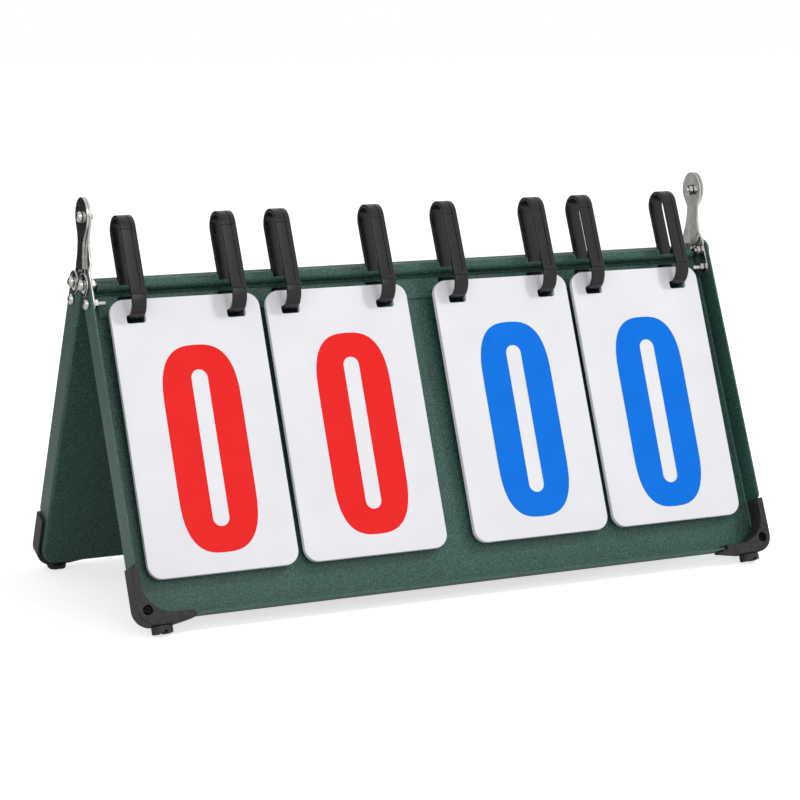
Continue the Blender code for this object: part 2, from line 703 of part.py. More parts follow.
def screw_mesh():
    """A slotted screw along Y, head at the front, its seat at the origin."""
    body = lathe([
        (-SCREW_HEAD_HEIGHT, 0),
        (-SCREW_HEAD_HEIGHT, 0.8 * SCREW_HEAD_RADIUS),
        (-0.6 * SCREW_HEAD_HEIGHT, SCREW_HEAD_RADIUS),
        (0, SCREW_HEAD_RADIUS),
        (0, SCREW_RADIUS),
        (SCREW_LENGTH, SCREW_RADIUS),
        (SCREW_LENGTH, 0),
    ])
    bmesh.ops.rotate(body, matrix=Matrix.Rotation(math.radians(90), 3, "Z"), verts=body.verts)
    half = SCREW_SLOT / 2
    reach = 2 * SCREW_HEAD_RADIUS
    slot = box((-reach, -reach, -half), (reach, -SCREW_HEAD_HEIGHT / 2, half))
    bmesh.ops.rotate(slot, matrix=Matrix.Rotation(math.radians(20), 3, "Y"), verts=slot.verts)
    return worked(body, [("DIFFERENCE", slot)])


def foot_mesh():
    """A round foot with a cross cut in its end and a stud, in the tray's frame at X = 0."""
    centre = (0, FOOT_SET)
    body = cylinder("Z", centre, FOOT_RADIUS, -FOOT_END, -FOOT_TOP, 20)
    stud = cylinder("Z", centre, FOOT_STUD, -FOOT_TOP - SHEET, -FOOT_TOP + FOOT_STUD_LENGTH, 12)
    half = FOOT_SLOT / 2
    wide = 2 * FOOT_RADIUS
    low = -FOOT_END - SHEET
    high = -FOOT_END + FOOT_SLOT_DEPTH
    across = box((-wide, FOOT_SET - half, low), (wide, FOOT_SET + half, high))
    along = box((-half, FOOT_SET - wide, low), (half, FOOT_SET + wide, high))
    floor = box((-wide, -wide, -wide), (wide, wide, 0))
    bmesh.ops.translate(floor, vec=Vector((0, 0, -HINGE_HEIGHT)), verts=floor.verts)
    middle = Vector((0, -FOOT_END * math.sin(LEAN) + FOOT_SET * math.cos(LEAN), 0))
    bmesh.ops.translate(floor, vec=middle, verts=floor.verts)
    bmesh.ops.rotate(floor, matrix=Matrix.Rotation(LEAN, 3, "X"), verts=floor.verts)
    cuts = [("DIFFERENCE", cut) for cut in (across, along, floor)]
    return worked(body, [("UNION", stud), *cuts])


def card_outline(inset=0):
    """A card's front view, centred on X, with its top edge at height 0."""
    half = CARD_WIDTH / 2 - inset
    radius = CARD_CORNER - inset
    corners = ((half, -inset, 90, 0), (half, -CARD_HEIGHT + inset, 0, -90))
    points = []
    for x, z, start, end in corners:
        inward = -1 if z > -CARD_HEIGHT / 2 else 1
        points += arc((x - radius, z + inward * radius), radius, start, end, 4)
    return points + [(-x, z) for x, z in reversed(points)]


def slot_cuts():
    """Cuts for the two slots near a card's top edge."""
    cuts = []
    for side in (-1, 1):
        x = side * SLOT_OFFSET
        top = CARD_TOP - SLOT_TOP
        low = top - SLOT_HEIGHT
        half = SLOT_LENGTH / 2
        r = SLOT_CORNER
        outline = arc((x + half - r, top - r), r, 90, 0, 2) + arc((x + half - r, low + r), r, 0, -90, 2)
        outline += arc((x - half + r, low + r), r, -90, -180, 2) + arc((x - half + r, top - r), r, 180, 90, 2)
        cuts.append(prism(outline, "Y", -SLOT_REACH, SLOT_REACH))
    return joined(cuts)


def stack_depths(share):
    """Front and back of the stack behind the front card, share of the way down the cards."""
    back_top = FACE_FRONT - STACK_TOP_STAND
    back_foot = FACE_FRONT - STACK_FOOT_STAND
    back = back_top + (back_foot - back_top) * share
    depth = STACK_TOP_DEPTH + (STACK_FOOT_DEPTH - STACK_TOP_DEPTH) * share
    return back - depth, back


def front_card_depth(share):
    """Middle of the front card's thickness, share of the way down."""
    top = RING_TURN_DEPTH - CARD_LEAD
    foot = stack_depths(1)[0] - CARD_FOOT_GAP - CARD_THICKNESS / 2
    return top + (foot - top) * share


def card_mesh():
    """The front card, with its origin on the axis of the rings' bend."""
    mesh = prism(card_outline(), "Y", -CARD_THICKNESS / 2, CARD_THICKNESS / 2)
    for vertex in mesh.verts:
        vertex.co.y += front_card_depth(-vertex.co.z / CARD_HEIGHT) - RING_TURN_DEPTH
    return worked(mesh, [("DIFFERENCE", slot_cuts())])


def stack_mesh():
    """The cards behind the front one, lying on each other, with their edges just parted."""
    mesh = bmesh.new()
    loops = [(0, 0)]
    for layer in range(1, STACK_CARDS):
        loops += [(layer / STACK_CARDS, STACK_NOTCH), ((layer + 0.5) / STACK_CARDS, 0)]
    loops.append((1, 0))
    rows = []
    for share, inset in loops:
        row = []
        for x, z in card_outline(inset):
            near, far = stack_depths(-z / CARD_HEIGHT)
            row.append(mesh.verts.new((x, near + (far - near) * share, z)))
        rows.append(row)
    mesh.faces.new(rows[0])
    mesh.faces.new(rows[-1])
    for near, far in zip(rows, rows[1:]):
        for index in range(len(near)):
            following = (index + 1) % len(near)
            mesh.faces.new((near[index], near[following], far[following], far[index]))
    bmesh.ops.recalc_face_normals(mesh, faces=mesh.faces)
    return worked(mesh, [("DIFFERENCE", slot_cuts())])


def add_fasteners(frame, which, metal):
    """The bolts, nuts and washers that hold a tray's straps to its flanges."""
    flange = TRAY_HALF + CLEARANCE
    nut_seat = STRAP_IN - CLEARANCE
    drops = {"upper": UPPER_DROP, "lower": LOWER_DROP}
    for name, side in SIDES[which].items():
        for level, drop in drops.items():
            washer = WASHER_HEIGHT + CLEARANCE if level == "upper" else 0
            tail = SHORT_TAIL if level == "upper" else LONG_TAIL
            place = (0, FLANGE_MIDDLE, -drop)
            bolt = bolt_mesh(side, flange + washer, nut_seat - NUT_HEIGHT - tail)
            add_piece(f"{which}_{level}_bolt_{name}", bolt, metal, frame, place)
            add_piece(f"{which}_{level}_nut_{name}", nut_mesh(side, nut_seat), metal, frame, place)
            if washer:
                add_piece(f"{which}_washer_{name}", washer_mesh(side, flange), metal, frame, place)


def add_corners(frame, which, plastic, rubber, metal):
    """The corner guards, their screws and the feet of a tray."""
    seat = CLEARANCE + SCREW_SUNK + SCREW_HEAD_HEIGHT
    screw = screw_mesh()
    foot = foot_mesh()
    for name, side in SIDES[which].items():
        add_piece(f"{which}_corner_guard_{name}", guard_mesh(side), plastic, frame)
        place = (side * SCREW_X, seat, -SCREW_DROP)
        add_piece(f"{which}_guard_screw_{name}", screw.copy(), metal, frame, place)
        add_piece(f"{which}_foot_{name}", foot.copy(), rubber, frame, (side * FOOT_X, 0, 0))


def add_pivots(frame, metal):
    """The two bolts that the straps' heads turn on."""
    head_seat = STRAP_OUT + CLEARANCE
    nut_seat = STRAP_IN - JOGGLE - CLEARANCE
    for name, side in SIDES["front"].items():
        bolt = bolt_mesh(side, head_seat, nut_seat - NUT_HEIGHT - SHORT_TAIL)
        add_piece(f"pivot_bolt_{name}", bolt, metal, frame)
        add_piece(f"pivot_nut_{name}", nut_mesh(side, nut_seat), metal, frame)


def add_cards(frame, materials):
    """The rings, and on them four stacks with a front card each."""
    ring = ring_mesh()
    for number, x in enumerate(ring_places(), start=1):
        add_piece(f"card_ring_{number}", ring.copy(), materials["ring"], frame, (x, 0, 0))
    for number, x in enumerate(CARD_CENTRES, start=1):
        axis = Matrix.Translation((x, RING_TURN_DEPTH, -CARD_TOP))
        turn = add_empty(f"card_axis_{number}", axis, frame)
        add_piece(f"front_card_{number}", card_mesh(), materials["card"], turn)
        add_piece(f"card_stack_{number}", stack_mesh(), materials["card"], frame, (x, 0, -CARD_TOP))


def main():
    clear_scene()
    materials = {
        "tray": make_material("powder_coated_steel", (0.032, 0.098, 0.075), 0.0, 0.55),
        "ring": make_material("moulded_nylon", (0.022, 0.021, 0.023), 0.0, 0.42),
        "guard": make_material("moulded_plastic", (0.045, 0.044, 0.047), 0.0, 0.55),
        "rubber": make_material("rubber", (0.03, 0.03, 0.032), 0.0, 0.8),
        "metal": make_material("zinc_plated_steel", (0.62, 0.62, 0.6), 1.0, 0.3),
        "card": make_material("pvc_sheet", (0.82, 0.83, 0.86), 0.0, 0.5),
    }
    hinge = Matrix.Translation((0, 0, HINGE_HEIGHT))
    lean = Matrix.Rotation(-LEAN, 4, "X")
    turn = Matrix.Rotation(math.pi, 4, "Z")
    frames = {
        "front": add_empty("front_hinge_axis", hinge @ lean),
        "rear": add_empty("rear_hinge_axis", hinge @ turn @ lean),
    }
    for which, frame in frames.items():
        add_piece(f"{which}_panel", tray_mesh(which == "front"), materials["tray"], frame)
        for name, side in SIDES[which].items():
            strap = strap_mesh(side, which == "front")
            add_piece(f"{which}_strap_{name}", strap, materials["metal"], frame)
        add_fasteners(frame, which, materials["metal"])
        add_corners(frame, which, materials["guard"], materials["rubber"], materials["metal"])
    add_pivots(frames["front"], materials["metal"])
    add_cards(frames["front"], materials)


main()
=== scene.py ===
import json
import math
import random

import bmesh
import bpy
from mathutils import Matrix, Vector


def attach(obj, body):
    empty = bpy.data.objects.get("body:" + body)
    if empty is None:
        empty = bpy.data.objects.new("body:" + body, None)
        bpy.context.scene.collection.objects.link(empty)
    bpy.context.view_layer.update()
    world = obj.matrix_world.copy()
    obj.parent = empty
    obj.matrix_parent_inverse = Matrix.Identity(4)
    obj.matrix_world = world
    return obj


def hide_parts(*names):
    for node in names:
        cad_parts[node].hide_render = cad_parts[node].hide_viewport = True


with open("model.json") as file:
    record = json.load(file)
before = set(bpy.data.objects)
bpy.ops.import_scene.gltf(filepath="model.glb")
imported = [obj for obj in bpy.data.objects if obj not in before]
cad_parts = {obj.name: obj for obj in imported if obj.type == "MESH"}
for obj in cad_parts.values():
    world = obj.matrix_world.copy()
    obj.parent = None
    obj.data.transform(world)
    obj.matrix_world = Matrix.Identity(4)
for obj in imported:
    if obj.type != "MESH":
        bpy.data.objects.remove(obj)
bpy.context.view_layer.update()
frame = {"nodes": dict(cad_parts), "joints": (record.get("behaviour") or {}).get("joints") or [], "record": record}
nodes = frame["nodes"]
joints = {joint["name"]: joint for joint in frame["joints"]}
scene = bpy.context.scene
print("frame loaded:", len(nodes), "nodes")

# Sizes below are in millimetres, drawn in a tray's own frame: the hinge axis is the origin,
# +Y goes from the tray's open side to its back and -Z goes down the tray.
mm = 0.001
fold = joints["frame_fold"]
hingeHeight = fold["pos_m"][2]
lean = math.radians((360 - fold["range_deg"][1]) / 2)
upright = Matrix.Translation((0, 0, hingeHeight))
trays = {
    "front": upright @ Matrix.Rotation(-lean, 4, "X"),
    "rear": upright @ Matrix.Rotation(math.pi, 4, "Z") @ Matrix.Rotation(-lean, 4, "X"),
}


def traySpan(node, tray="front"):
    # A node's lowest and highest corner in its tray's frame, in millimetres.
    back = trays[tray].inverted()
    points = [back @ vertex.co / mm for vertex in nodes[node].data.vertices]
    low = Vector(min(point[axis] for point in points) for axis in range(3))
    high = Vector(max(point[axis] for point in points) for axis in range(3))
    return low, high


# Materials

def linearColour(hexValue):
    # An sRGB hex colour as the linear values that shaders take.
    values = []
    for start in (0, 2, 4):
        value = int(hexValue[start:start + 2], 16) / 255
        values.append(value / 12.92 if value <= 0.04045 else ((value + 0.055) / 1.055) ** 2.4)
    return (*values, 1.0)


def addNode(tree, kind, settings=None, links=None):
    # Adds a node. Settings are its own properties or, by name or number, its inputs.
    node = tree.nodes.new(kind)
    for name, value in (settings or {}).items():
        if isinstance(name, str) and hasattr(node, name):
            setattr(node, name, value)
        else:
            node.inputs[name].default_value = value
    for name, source in (links or {}).items():
        tree.links.new(source, node.inputs[name])
    return node


def newMaterial(name, settings):
    material = bpy.data.materials.new(name)
    material.use_nodes = True
    tree = material.node_tree
    shader = tree.nodes["Principled BSDF"]
    for socket, value in settings.items():
        shader.inputs[socket].default_value = value
    return material, tree, shader


def grainPattern(tree, sizeMm, detail=2.0, rough=0.5, stretch=None):
    # Noise whose blotches are about sizeMm across, fixed to the object.
    spot = addNode(tree, "ShaderNodeTexCoord").outputs["Object"]
    if stretch:
        spot = addNode(tree, "ShaderNodeMapping", {"Scale": stretch}, {"Vector": spot}).outputs["Vector"]
    settings = {"Scale": 1000 / sizeMm, "Detail": detail, "Roughness": rough}
    return addNode(tree, "ShaderNodeTexNoise", settings, {"Vector": spot}).outputs["Fac"]


def dressSurface(tree, shader, tone, rough=None, bumps=()):
    # Joins patterns to the shader. The tone is a pattern and two stops, each a position and a colour.
    # The roughness, where it varies, is a pattern, its two values, and where on the pattern they are
    # reached. Each bump is a pattern, its strength and its depth in millimetres, and lies over the
    # one before.
    pattern, *stops = tone
    ramp = addNode(tree, "ShaderNodeValToRGB", None, {"Fac": pattern})
    for element, (position, colour) in zip(ramp.color_ramp.elements, stops):
        element.position = position
        element.color = colour
    tree.links.new(ramp.outputs["Color"], shader.inputs["Base Color"])
    if rough:
        pattern, (low, high), (fromLow, fromHigh) = rough
        settings = {"From Min": fromLow, "From Max": fromHigh, "To Min": low, "To Max": high}
        spread = addNode(tree, "ShaderNodeMapRange", settings, {"Value": pattern})
        tree.links.new(spread.outputs["Result"], shader.inputs["Roughness"])
    under = {}
    for pattern, strength, deepMm in bumps:
        settings = {"Strength": strength, "Distance": deepMm * mm}
        bump = addNode(tree, "ShaderNodeBump", settings, {"Height": pattern, **under})
        under = {"Normal": bump.outputs["Normal"]}
    for socket, normal in under.items():
        tree.links.new(normal, shader.inputs[socket])


# Powder-coated steel: fused powder leaves a fine pebbled skin that sparkles a little in the light; the sparkle is
# painted as light specks in the colour.
# The real grain is about 0.3 mm; it is drawn at 0.8 mm, because a finer one is lost in the render.
powderCoat = {
    "green": "103c32", "lightGreen": "5a8076", "tint": 0.08, "speck": 0.6, "blotchMm": 30,
    "grainMm": 0.8, "grainBump": 1.0, "grainDeepMm": 0.22, "rough": (0.34, 0.54),
    "peelMm": 1.8, "peelBump": 0.6, "peelDeepMm": 0.16,
}


def powderCoatedSteel():
    coat = powderCoat
    material, tree, shader = newMaterial("powderCoatedSteel", {"IOR": 1.5, "Specular IOR Level": 0.5})
    blotch = grainPattern(tree, coat["blotchMm"], 3.0)
    grain = grainPattern(tree, coat["grainMm"], 1.0)
    peel = grainPattern(tree, coat["peelMm"])
    green = linearColour(coat["green"])
    lighter = linearColour(coat["lightGreen"])
    tinted = [dark * (1 - coat["tint"]) + light * coat["tint"] for dark, light in zip(green, lighter)]
    bumps = [(grain, coat["grainBump"], coat["grainDeepMm"]), (peel, coat["peelBump"], coat["peelDeepMm"])]
    tone = (blotch, (0.3, green), (0.75, tinted))
    dressSurface(tree, shader, tone, (grain, coat["rough"], (0.3, 0.7)), bumps)
    # Painted highlight: light specks over the colour, where the grain stands high, stand in for the coat's
    # sparkle.
    # The mix node's colours are its inputs 6 and 7 and its output 2.
    settings = {"From Min": 0.42, "From Max": 0.7, "To Max": coat["speck"]}
    speck = addNode(tree, "ShaderNodeMapRange", settings, {"Value": grain})
    base = shader.inputs["Base Color"].links[0].from_socket
    links = {0: speck.outputs["Result"], 6: base}
    mixed = addNode(tree, "ShaderNodeMix", {"data_type": "RGBA", 7: lighter}, links)
    tree.links.new(mixed.outputs[2], shader.inputs["Base Color"])
    return material


# Zinc-plated steel: rolled sheet under a thin bright plate, so it is silvery with soft streaks.
zincPlate = {
    "silver": "cfcecb", "dull": "b3b1ad", "cloudMm": 6.0, "rough": (0.15, 0.23),
    "streakMm": 1.1, "streakStretch": (1.0, 1.0, 0.12), "streakBump": 0.1, "streakDeepMm": 0.02,
}


def zincPlatedSteel():
    plate = zincPlate
    material, tree, shader = newMaterial("zincPlatedSteel", {"Metallic": 1.0})
    streak = grainPattern(tree, plate["streakMm"], 3.0, 0.55, plate["streakStretch"])
    cloud = grainPattern(tree, plate["cloudMm"])
    tone = (cloud, (0.35, linearColour(plate["dull"])), (0.65, linearColour(plate["silver"])))
    bumps = [(streak, plate["streakBump"], plate["streakDeepMm"])]
    dressSurface(tree, shader, tone, (streak, plate["rough"], (0.0, 1.0)), bumps)
    return material


# Blackened steel: the guards' screws have a black oxide skin, dark with a dull metal edge.
blackOxide = {"black": "0c0c0d", "rubbed": "2c2c2e", "patchMm": 0.8, "rough": (0.35, 0.5)}


def blackenedSteel():
    oxide = blackOxide
    material, tree, shader = newMaterial("blackenedSteel", {"Metallic": 1.0})
    patch = grainPattern(tree, oxide["patchMm"], 3.0)
    tone = (patch, (0.45, linearColour(oxide["black"])), (0.75, linearColour(oxide["rubbed"])))
    dressSurface(tree, shader, tone, (patch, oxide["rough"], (0.0, 1.0)))
    return material


# Moulded nylon: the rings come out of a polished tool, so they are satin black with faint flow lines.
nylon = {
    "black": "08080a", "grey": "101013", "flowMm": 5.0, "rough": (0.24, 0.34),
    "lineMm": 0.6, "lineStretch": (1.0, 0.15, 0.06), "lineBump": 0.2, "lineDeepMm": 0.03,
}


def mouldedNylon():
    material, tree, shader = newMaterial("mouldedNylon", {"IOR": 1.53, "Specular IOR Level": 0.4})
    line = grainPattern(tree, nylon["lineMm"], stretch=nylon["lineStretch"])
    flow = grainPattern(tree, nylon["flowMm"])
    tone = (flow, (0.35, linearColour(nylon["black"])), (0.7, linearColour(nylon["grey"])))
    bumps = [(line, nylon["lineBump"], nylon["lineDeepMm"])]
    dressSurface(tree, shader, tone, (flow, nylon["rough"], (0.3, 0.7)), bumps)
    return material


# Moulded plastic: the guards have a spark-eroded grain, so they scatter light and look charcoal.
# The grain is drawn at 0.8 mm, coarser than the real one.
plastic = {
    "charcoal": "18181a", "worn": "2f2e31", "scuffMm": 3, "rough": (0.44, 0.58),
    "grainMm": 0.8, "grainBump": 0.8, "grainDeepMm": 0.12,
}


def mouldedPlastic():
    material, tree, shader = newMaterial("mouldedPlastic", {"IOR": 1.52, "Specular IOR Level": 0.36})
    grain = grainPattern(tree, plastic["grainMm"])
    scuff = grainPattern(tree, plastic["scuffMm"], 4.0)
    tone = (scuff, (0.4, linearColour(plastic["charcoal"])), (0.7, linearColour(plastic["worn"])))
    bumps = [(grain, plastic["grainBump"], plastic["grainDeepMm"])]
    dressSurface(tree, shader, tone, (scuff, plastic["rough"], (0.0, 1.0)), bumps)
    return material


# Rubber: vulcanised feet, matt with a dusty bloom.
rubberMix = {"black": "121214", "bloom": "1f1f21", "grainMm": 0.6, "grainBump": 0.3, "grainDeepMm": 0.05}


def vulcanisedRubber():
    mix = rubberMix
    material, tree, shader = newMaterial("vulcanisedRubber", {"Roughness": 0.6, "IOR": 1.52})
    grain = grainPattern(tree, mix["grainMm"], 3.0)
    tone = (grain, (0.4, linearColour(mix["black"])), (0.7, linearColour(mix["bloom"])))
    bumps = [(grain, mix["grainBump"], mix["grainDeepMm"])]
    dressSurface(tree, shader, tone, bumps=bumps)
    return material


# PVC sheet: calendered between rollers, so it is smooth, faintly wavy and a cool white.
pvc = {
    "white": "e8e8ed", "shade": "e3e3e8", "waveMm": 30, "rough": (0.38, 0.48),
    "grainMm": 0.7, "grainBump": 0.08, "grainDeepMm": 0.02,
}


def pvcSheet():
    material, tree, shader = newMaterial("pvcSheet", {"IOR": 1.53})
    wave = grainPattern(tree, pvc["waveMm"], 1.0)
    grain = grainPattern(tree, pvc["grainMm"])
    tone = (wave, (0.3, linearColour(pvc["shade"])), (0.7, linearColour(pvc["white"])))
    bumps = [(grain, pvc["grainBump"], pvc["grainDeepMm"])]
    dressSurface(tree, shader, tone, (grain, pvc["rough"], (0.0, 1.0)), bumps)
    return material


# Screen-printed ink: a thick even film that shines a little less than the sheet and keeps a fine tooth
# from the mesh.
inks = {"printedRedInk": ("e8211f", "ea2523"), "printedBlueInk": ("0070dc", "0473e0")}
inkFilm = {"cloudMm": 18, "rough": (0.38, 0.48), "toothMm": 0.4, "toothBump": 0.08, "toothDeepMm": 0.02}


def screenPrintedInk(name):
    film = inkFilm
    material, tree, shader = newMaterial(name, {"IOR": 1.5, "Specular IOR Level": 0.16})
    cloud = grainPattern(tree, film["cloudMm"])
    tooth = grainPattern(tree, film["toothMm"])
    deep, light = (linearColour(value) for value in inks[name])
    bumps = [(tooth, film["toothBump"], film["toothDeepMm"])]
    tone = (cloud, (0.35, deep), (0.7, light))
    dressSurface(tree, shader, tone, (tooth, film["rough"], (0.0, 1.0)), bumps)
    return material


materials = {
    "powder_coated_steel": powderCoatedSteel(),
    "zinc_plated_steel": zincPlatedSteel(),
    "blackenedSteel": blackenedSteel(),
    "moulded_nylon": mouldedNylon(),
    "moulded_plastic": mouldedPlastic(),
    "rubber": vulcanisedRubber(),
    "pvc_sheet": pvcSheet(),
    "printedRedInk": screenPrintedInk("printedRedInk"),
    "printedBlueInk": screenPrintedInk("printedBlueInk"),
}
print("materials made:", len(materials))


# Shared modelling steps. A "work" is a shape being drawn, in millimetres. Its faces that meet at less
# than the degrees given here shade as one.
smooth = {"sheet": 18, "strip": 24, "moulded": 30, "turned": 32}

# How far small and large cutters reach past what they cut.
past = 1.0
beyond = 10.0


def addPiece(name, mesh, material, body, replaced=()):
    piece = bpy.data.objects.new(name, mesh)
    scene.collection.objects.link(piece)
    mesh.materials.clear()
    mesh.materials.append(materials[material])
    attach(piece, body)
    if replaced:
        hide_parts(*replaced)
    return piece


def meshOf(work, smoothAngle):
    bmesh.ops.recalc_face_normals(work, faces=work.faces)
    mesh = bpy.data.meshes.new("made")
    work.to_mesh(mesh)
    work.free()
    mesh.shade_smooth()
    mesh.set_sharp_from_angle(angle=math.radians(smoothAngle))
    return mesh


def placed(mesh, matrix):
    # Takes a mesh drawn in millimetres to its place in metres.
    mesh.transform(matrix @ Matrix.Scale(mm, 4))
    return mesh


def arcPoints(centre, radius, start, end, steps):
    points = []
    for step in range(steps + 1):
        angle = math.radians(start + (end - start) * step / steps)
        points.append((centre[0] + radius * math.cos(angle), centre[1] + radius * math.sin(angle)))
    return points


def holderOf(work):
    # Puts a drawn shape on an object of its own, for modifiers to work on.
    mesh = bpy.data.meshes.new("drawn")
    bmesh.ops.recalc_face_normals(work, faces=work.faces)
    work.to_mesh(mesh)
    work.free()
    holder = bpy.data.objects.new("drawn", mesh)
    scene.collection.objects.link(holder)
    return holder


def finishedWork(holder):
    # The shape as its object's modifiers, or its curve's settings, leave it.
    graph = bpy.context.evaluated_depsgraph_get()
    mesh = bpy.data.meshes.new_from_object(holder.evaluated_get(graph))
    work = bmesh.new()
    work.from_mesh(mesh)
    bpy.data.meshes.remove(mesh)
    return work


def cutWork(work, cutters):
    # The shape with each cutter's shape taken out of it.
    body = holderOf(work)
    holders = [holderOf(cutter) for cutter in cutters]
    for holder in holders:
        cut = body.modifiers.new("cut", "BOOLEAN")
        cut.operation = "DIFFERENCE"
        cut.solver = "EXACT"
        cut.object = holder
    result = finishedWork(body)
    for done in [body, *holders]:
        bpy.data.objects.remove(done)
    return result


def bridge(work, near, far):
    # Faces all round between two loops of equally many corners.
    for index in range(len(near)):
        following = (index + 1) % len(near)
        work.faces.new((near[index], near[following], far[following], far[index]))


def prismWork(outline, axis, low, high):
    # An outline pushed along an axis. Its two numbers lie along the other axes, in order.
    order = {
        "X": lambda u, v, w: (w, u, v),
        "Y": lambda u, v, w: (u, w, v),
        "Z": lambda u, v, w: (u, v, w),
    }[axis]
    work = bmesh.new()
    near = [work.verts.new(order(u, v, low)) for u, v in outline]
    far = [work.verts.new(order(u, v, high)) for u, v in outline]
    work.faces.new(near)
    work.faces.new(far)
    bridge(work, near, far)
    bmesh.ops.recalc_face_normals(work, faces=work.faces)
    return work


def boxWork(low, high):
    outline = [(low[0], low[1]), (high[0], low[1]), (high[0], high[1]), (low[0], high[1])]
    return prismWork(outline, "Z", low[2], high[2])


def roundWork(axis, centre, radius, low, high, steps=32):
    return prismWork(arcPoints(centre, radius, 0, 360 * (1 - 1 / steps), steps - 1), axis, low, high)


def turnedWork(rows, steps=24, hollow=False):
    # A shape turned about X. Each row is its place along X and its radius, and either may be a
    # function of the angle.
    work = bmesh.new()
    loops = []
    for along, radius in rows:
        loop = []
        for step in range(steps):
            angle = 2 * math.pi * step / steps
            spot = along(angle) if callable(along) else along
            reach = radius(angle) if callable(radius) else radius
            loop.append(work.verts.new((spot, reach * math.cos(angle), reach * math.sin(angle))))
        loops.append(loop)
    pairs = list(zip(loops, loops[1:]))
    if hollow:
        pairs.append((loops[-1], loops[0]))
    else:
        work.faces.new(loops[0])
        work.faces.new(loops[-1])
    for near, far in pairs:
        bridge(work, near, far)
    return work


def softenEdges(piece, width):
    # Edges that catch the light: a small round on each, with faces kept flat.
    soften = piece.modifiers.new("soften", "BEVEL")
    soften.width = width * mm
    soften.segments = 2
    soften.limit_method = "ANGLE"
    soften.angle_limit = math.radians(38)
    soften.use_clamp_overlap = True
    piece.data.shade_smooth()
    weigh = piece.modifiers.new("weigh", "WEIGHTED_NORMAL")
    weigh.keep_sharp = False


def mirrorAcross(work, side):
    if side < 0:
        bmesh.ops.scale(work, vec=Vector((-1, 1, 1)), verts=work.verts)
    return work


def pieceName(node):
    # The maker's name for a piece, from its node's: front_upper_bolt_left is frontUpperBoltLeft.
    first, *rest = node.split("_")
    return first + "".join(word.capitalize() for word in rest)


# Rings: one wide nylon strip each. The legs carry a groove and end in a lip, and below the lip the
# strip is narrower and plain where it goes round the knee, through the card and up behind it.
ringStrip = {
    "width": 8.9, "thickness": 2.0, "gap": 16.0, "edgeRound": 0.35, "rootDrop": 37.2, "bendLead": 2.0,
    "grooveAt": 1.2, "grooveWide": 0.9, "grooveDeep": 0.4,
    "crossDrop": 1.0, "crossDeep": 0.25, "crossWide": 0.7,
    "lipTall": 2.6, "lipUp": 0.4, "lipOut": 0.5, "lipSide": 0.3, "lipStep": 0.06,
    "fadeDrop": 0.5, "fadeOut": 0.12, "fadeGroove": 0.2,
    "kneeBend": 10.0, "kneeSide": -0.25, "kneeOut": -0.1,
    "tailBend": 2.0, "tailIn": 3.2, "hookRise": 13.2,
}
cardTop = -traySpan("front_card_1")[1].z


def legStations(front, rear, loopTop):
    # From the rear leg's root, over the loop and down to the lip.
    strip = ringStrip
    middle = (front + strip["gap"] / 2, loopTop)
    lipLow = -cardTop + strip["lipUp"]
    lipHigh = lipLow + strip["lipTall"]
    rows = [(rear, -strip["rootDrop"], 0, 0, 1), (rear, loopTop - strip["bendLead"], 0, 0, 1)]
    rows += [(x, y, 0, 0, 1) for x, y in arcPoints(middle, strip["gap"] / 2, 0, 180, 24)]
    for share, deep in ((0, 0), (0.5, 1), (1, 0)):
        drop = strip["crossDrop"] + strip["crossWide"] * share
        rows.append((front, loopTop - drop, 0, -deep * strip["crossDeep"], 1))
    rows.append((front, lipHigh, 0, 0, 1))
    rows.append((front, lipHigh - strip["fadeDrop"], 0, strip["fadeOut"], strip["fadeGroove"]))
    rows.append((front, lipLow, strip["lipSide"], strip["lipOut"], 0))
    return rows


def kneeStations(front, back):
    # From under the lip, round the knee, through the card and up behind it.
    strip = ringStrip
    bend, tail = strip["kneeBend"], strip["tailBend"]
    arm = -cardTop - bend
    tailDepth = back - strip["tailIn"]
    hook = arm + strip["hookRise"]
    knee = [(front, -cardTop + strip["lipUp"] - strip["lipStep"])]
    knee += arcPoints((front + bend, -cardTop), bend, 180, 270, 16)
    knee += arcPoints((tailDepth - tail, arm + tail), tail, 270, 360, 8)
    knee += arcPoints((tailDepth + tail, hook - tail), tail, 180, 90, 8)
    knee.append((back, hook))
    return [(x, y, strip["kneeSide"], strip["kneeOut"], 0) for x, y in knee]


def ringSection(wider, thicker, groove):
    # The strip's outline from its back face round to its front, as (across, out) points.
    half = ringStrip["width"] / 2 + wider
    back = -ringStrip["thickness"] / 2
    front = ringStrip["thickness"] / 2 + thicker
    soft = ringStrip["edgeRound"]
    at, wide, deep = ringStrip["grooveAt"], ringStrip["grooveWide"], ringStrip["grooveDeep"] * groove
    points = arcPoints((half - soft, back + soft), soft, -90, 0, 3)
    points += arcPoints((half - soft, front - soft), soft, 0, 90, 3)
    points += [(at + wide / 2, front), (at + wide / 4, front - deep)]
    points += [(at - wide / 4, front - deep), (at - wide / 2, front)]
    points += arcPoints((-half + soft, front - soft), soft, 90, 180, 3)
    points += arcPoints((-half + soft, back + soft), soft, 180, 270, 3)
    return points


